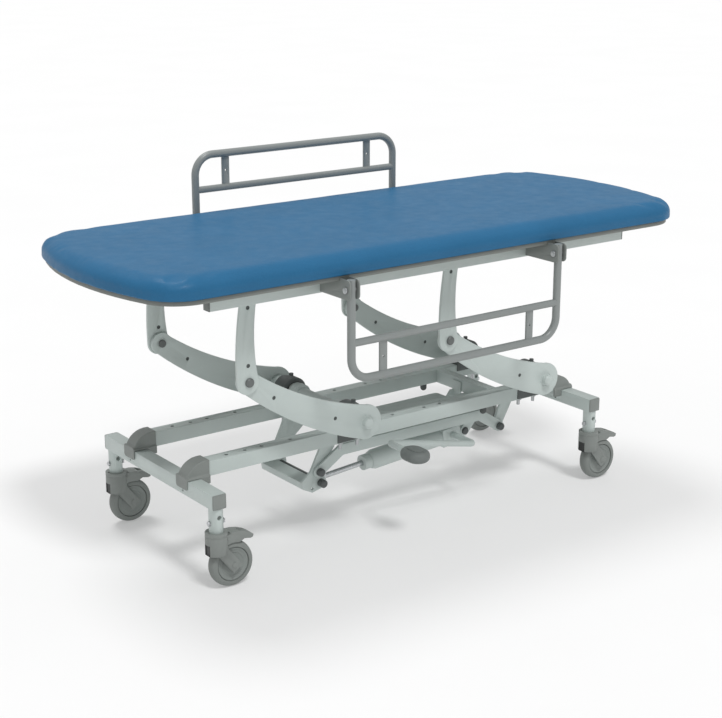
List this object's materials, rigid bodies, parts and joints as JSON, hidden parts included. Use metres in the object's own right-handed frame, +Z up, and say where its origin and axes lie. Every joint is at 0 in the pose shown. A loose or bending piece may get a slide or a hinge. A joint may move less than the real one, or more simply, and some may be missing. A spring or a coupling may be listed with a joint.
{
  "type": "medical exam table",
  "caption": "Mobile height-adjustable examination and changing couch: padded top on a parallelogram lift with foot pump, folding side rails and braked castors.",
  "frame": {"origin": "on the floor, under the middle of the padded top", "axes": "+X along the length towards the foot end, -Y is the front long side, +Z up"},
  "size_m": [1.865, 0.794, 1.017],
  "materials": {
    "vinyl": "blue vinyl upholstery, fine grain, soft sheen",
    "board": "grey laminate edge",
    "light_frame_paint": "pale grey powder coat, semi-matt",
    "rail_paint": "mid grey powder coat, satin",
    "grey_plastic": "moulded grey plastic",
    "dark_plastic": "moulded dark grey plastic",
    "white_nylon": "white nylon",
    "dark_steel": "dark plated steel with domed caps",
    "zinc": "zinc plated steel",
    "tyre": "grey thermoplastic rubber tyre on a grey hub",
    "rubber": "dark grey rubber"
  },
  "bodies": {
    "base": {"cross_member_left": "light_frame_paint", "cross_member_right": "light_frame_paint", "base_rail_front": "light_frame_paint", "base_rail_rear": "light_frame_paint", "cross_beam": "light_frame_paint", "rail_end_covers": "grey_plastic", "frame_end_caps": "grey_plastic", "bearing_blocks": "dark_plastic", "bearing_bushes": "white_nylon", "base_bolts": "zinc", "bumpers": "rubber", "pump_tray": "light_frame_paint", "pump_bracket": "light_frame_paint", "ram_rear_pin": "dark_steel", "castor_heads": "grey_plastic"},
    "lift_left": {"torsion_tube_left": "light_frame_paint", "arm_left_front": "light_frame_paint", "arm_left_rear": "light_frame_paint", "drive_lever": "light_frame_paint", "lever_pins_left": "dark_steel"},
    "lift_right": {"torsion_tube_right": "light_frame_paint", "arm_right_front": "light_frame_paint", "arm_right_rear": "light_frame_paint", "lever_right": "light_frame_paint", "link_pin_right": "dark_steel"},
    "link": {"sync_bar": "light_frame_paint"},
    "top": {"uprights": "light_frame_paint", "top_rail_front": "light_frame_paint", "top_rail_rear": "light_frame_paint", "top_rail_caps": "grey_plastic", "top_cross_tubes": "light_frame_paint", "deck_board": "board", "pad": "vinyl", "upper_pivot_pins": "dark_steel", "rail_brackets": "rail_paint", "rail_hinge_bolts": "zinc"},
    "side_rail_front": {"side_rail_front": "rail_paint"},
    "side_rail_rear": {"side_rail_rear": "rail_paint"},
    "ram": {"ram_cylinder": "light_frame_paint", "ram_gland": "light_frame_paint", "pump_block": "light_frame_paint"},
    "rod": {"ram_rod": "zinc"},
    "pump_lever": {"foot_lever": "light_frame_paint", "foot_pad": "rubber"},
    "castor_left_front": {"castor_fork_left_front": "grey_plastic", "castor_axle_left_front": "zinc"},
    "wheel_left_front": {"castor_wheel_left_front": "tyre"},
    "brake_left_front": {"castor_pedal_left_front": "grey_plastic"},
    "castor_left_rear": {"castor_fork_left_rear": "grey_plastic", "castor_axle_left_rear": "zinc"},
    "wheel_left_rear": {"castor_wheel_left_rear": "tyre"},
    "brake_left_rear": {"castor_pedal_left_rear": "grey_plastic"},
    "castor_right_front": {"castor_fork_right_front": "grey_plastic", "castor_axle_right_front": "zinc"},
    "wheel_right_front": {"castor_wheel_right_front": "tyre"},
    "brake_right_front": {"castor_pedal_right_front": "grey_plastic"},
    "castor_right_rear": {"castor_fork_right_rear": "grey_plastic", "castor_axle_right_rear": "zinc"},
    "wheel_right_rear": {"castor_wheel_right_rear": "tyre"},
    "brake_right_rear": {"castor_pedal_right_rear": "grey_plastic"}
  },
  "joints": [
    {"name": "lift", "type": "hinge", "parent": "base", "child": "lift_left", "pos_m": [-0.194, 0, 0.337], "axis": [0, 1, 0], "range_deg": [-38, 18]},
    {"name": "lift_right", "type": "hinge", "parent": "base", "child": "lift_right", "pos_m": [0.471, 0, 0.337], "axis": [0, 1, 0], "range_deg": [-38, 18]},
    {"name": "top_level", "type": "hinge", "parent": "lift_left", "child": "top", "pos_m": [-0.57476, 0, 0.52353], "axis": [0, 1, 0], "range_deg": [-18, 38]},
    {"name": "link_left", "type": "hinge", "parent": "lift_left", "child": "link", "pos_m": [-0.2725, -0.109, 0.175], "axis": [0, 1, 0], "range_deg": [-18, 38]},
    {"name": "ram_tilt", "type": "hinge", "parent": "base", "child": "ram", "pos_m": [0.2725, -0.073, 0.179], "axis": [0, 1, 0], "range_deg": [-3.8, 1.8]},
    {"name": "ram_stroke", "type": "slide", "parent": "ram", "child": "rod", "axis": [-0.9972, 0, -0.0752], "range_m": [-0.131, 0.0621]},
    {"name": "pump_lever", "type": "hinge", "parent": "ram", "child": "pump_lever", "pos_m": [0.219, -0.12, 0.18], "axis": [0, -1, 0], "range_deg": [0, 22], "stiffness_Nm_per_rad": 8, "springref_deg": -34.38},
    {"name": "side_rail_front_fold", "type": "hinge", "parent": "top", "child": "side_rail_front", "pos_m": [0, -0.38, 0.765], "axis": [-1, 0, 0], "range_deg": [0, 180]},
    {"name": "side_rail_rear_fold", "type": "hinge", "parent": "top", "child": "side_rail_rear", "pos_m": [0, 0.38, 0.765], "axis": [-1, 0, 0], "range_deg": [0, 180]},
    {"name": "swivel_left_front", "type": "hinge", "parent": "base", "child": "castor_left_front", "pos_m": [-0.707, -0.272, 0.14], "axis": [0, 0, 1], "continuous": true},
    {"name": "roll_left_front", "type": "hinge", "parent": "castor_left_front", "child": "wheel_left_front", "pos_m": [-0.667, -0.272, 0.0625], "axis": [0, 1, 0], "continuous": true},
    {"name": "brake_left_front", "type": "hinge", "parent": "castor_left_front", "child": "brake_left_front", "pos_m": [-0.685, -0.272, 0.14], "axis": [0, 1, 0], "range_deg": [0, 8]},
    {"name": "swivel_left_rear", "type": "hinge", "parent": "base", "child": "castor_left_rear", "pos_m": [-0.707, 0.272, 0.14], "axis": [0, 0, 1], "continuous": true},
    {"name": "roll_left_rear", "type": "hinge", "parent": "castor_left_rear", "child": "wheel_left_rear", "pos_m": [-0.667, 0.272, 0.0625], "axis": [0, 1, 0], "continuous": true},
    {"name": "brake_left_rear", "type": "hinge", "parent": "castor_left_rear", "child": "brake_left_rear", "pos_m": [-0.685, 0.272, 0.14], "axis": [0, 1, 0], "range_deg": [0, 8]},
    {"name": "swivel_right_front", "type": "hinge", "parent": "base", "child": "castor_right_front", "pos_m": [0.615, -0.272, 0.14], "axis": [0, 0, 1], "continuous": true},
    {"name": "roll_right_front", "type": "hinge", "parent": "castor_right_front", "child": "wheel_right_front", "pos_m": [0.655, -0.272, 0.0625], "axis": [0, 1, 0], "continuous": true},
    {"name": "brake_right_front", "type": "hinge", "parent": "castor_right_front", "child": "brake_right_front", "pos_m": [0.637, -0.272, 0.14], "axis": [0, 1, 0], "range_deg": [0, 8]},
    {"name": "swivel_right_rear", "type": "hinge", "parent": "base", "child": "castor_right_rear", "pos_m": [0.615, 0.272, 0.14], "axis": [0, 0, 1], "continuous": true},
    {"name": "roll_right_rear", "type": "hinge", "parent": "castor_right_rear", "child": "wheel_right_rear", "pos_m": [0.655, 0.272, 0.0625], "axis": [0, 1, 0], "continuous": true},
    {"name": "brake_right_rear", "type": "hinge", "parent": "castor_right_rear", "child": "brake_right_rear", "pos_m": [0.637, 0.272, 0.14], "axis": [0, 1, 0], "range_deg": [0, 8]}
  ],
  "couplings": [
    {"joint": "lift_right", "follows": "lift", "ratio": 1},
    {"joint": "top_level", "follows": "lift", "ratio": -1},
    {"joint": "link_left", "follows": "lift", "ratio": -1},
    {"joint": "ram_tilt", "follows": "lift", "ratio": 0.1},
    {"joint": "ram_stroke", "follows": "lift", "m_per_rad": 0.1975}
  ]
}
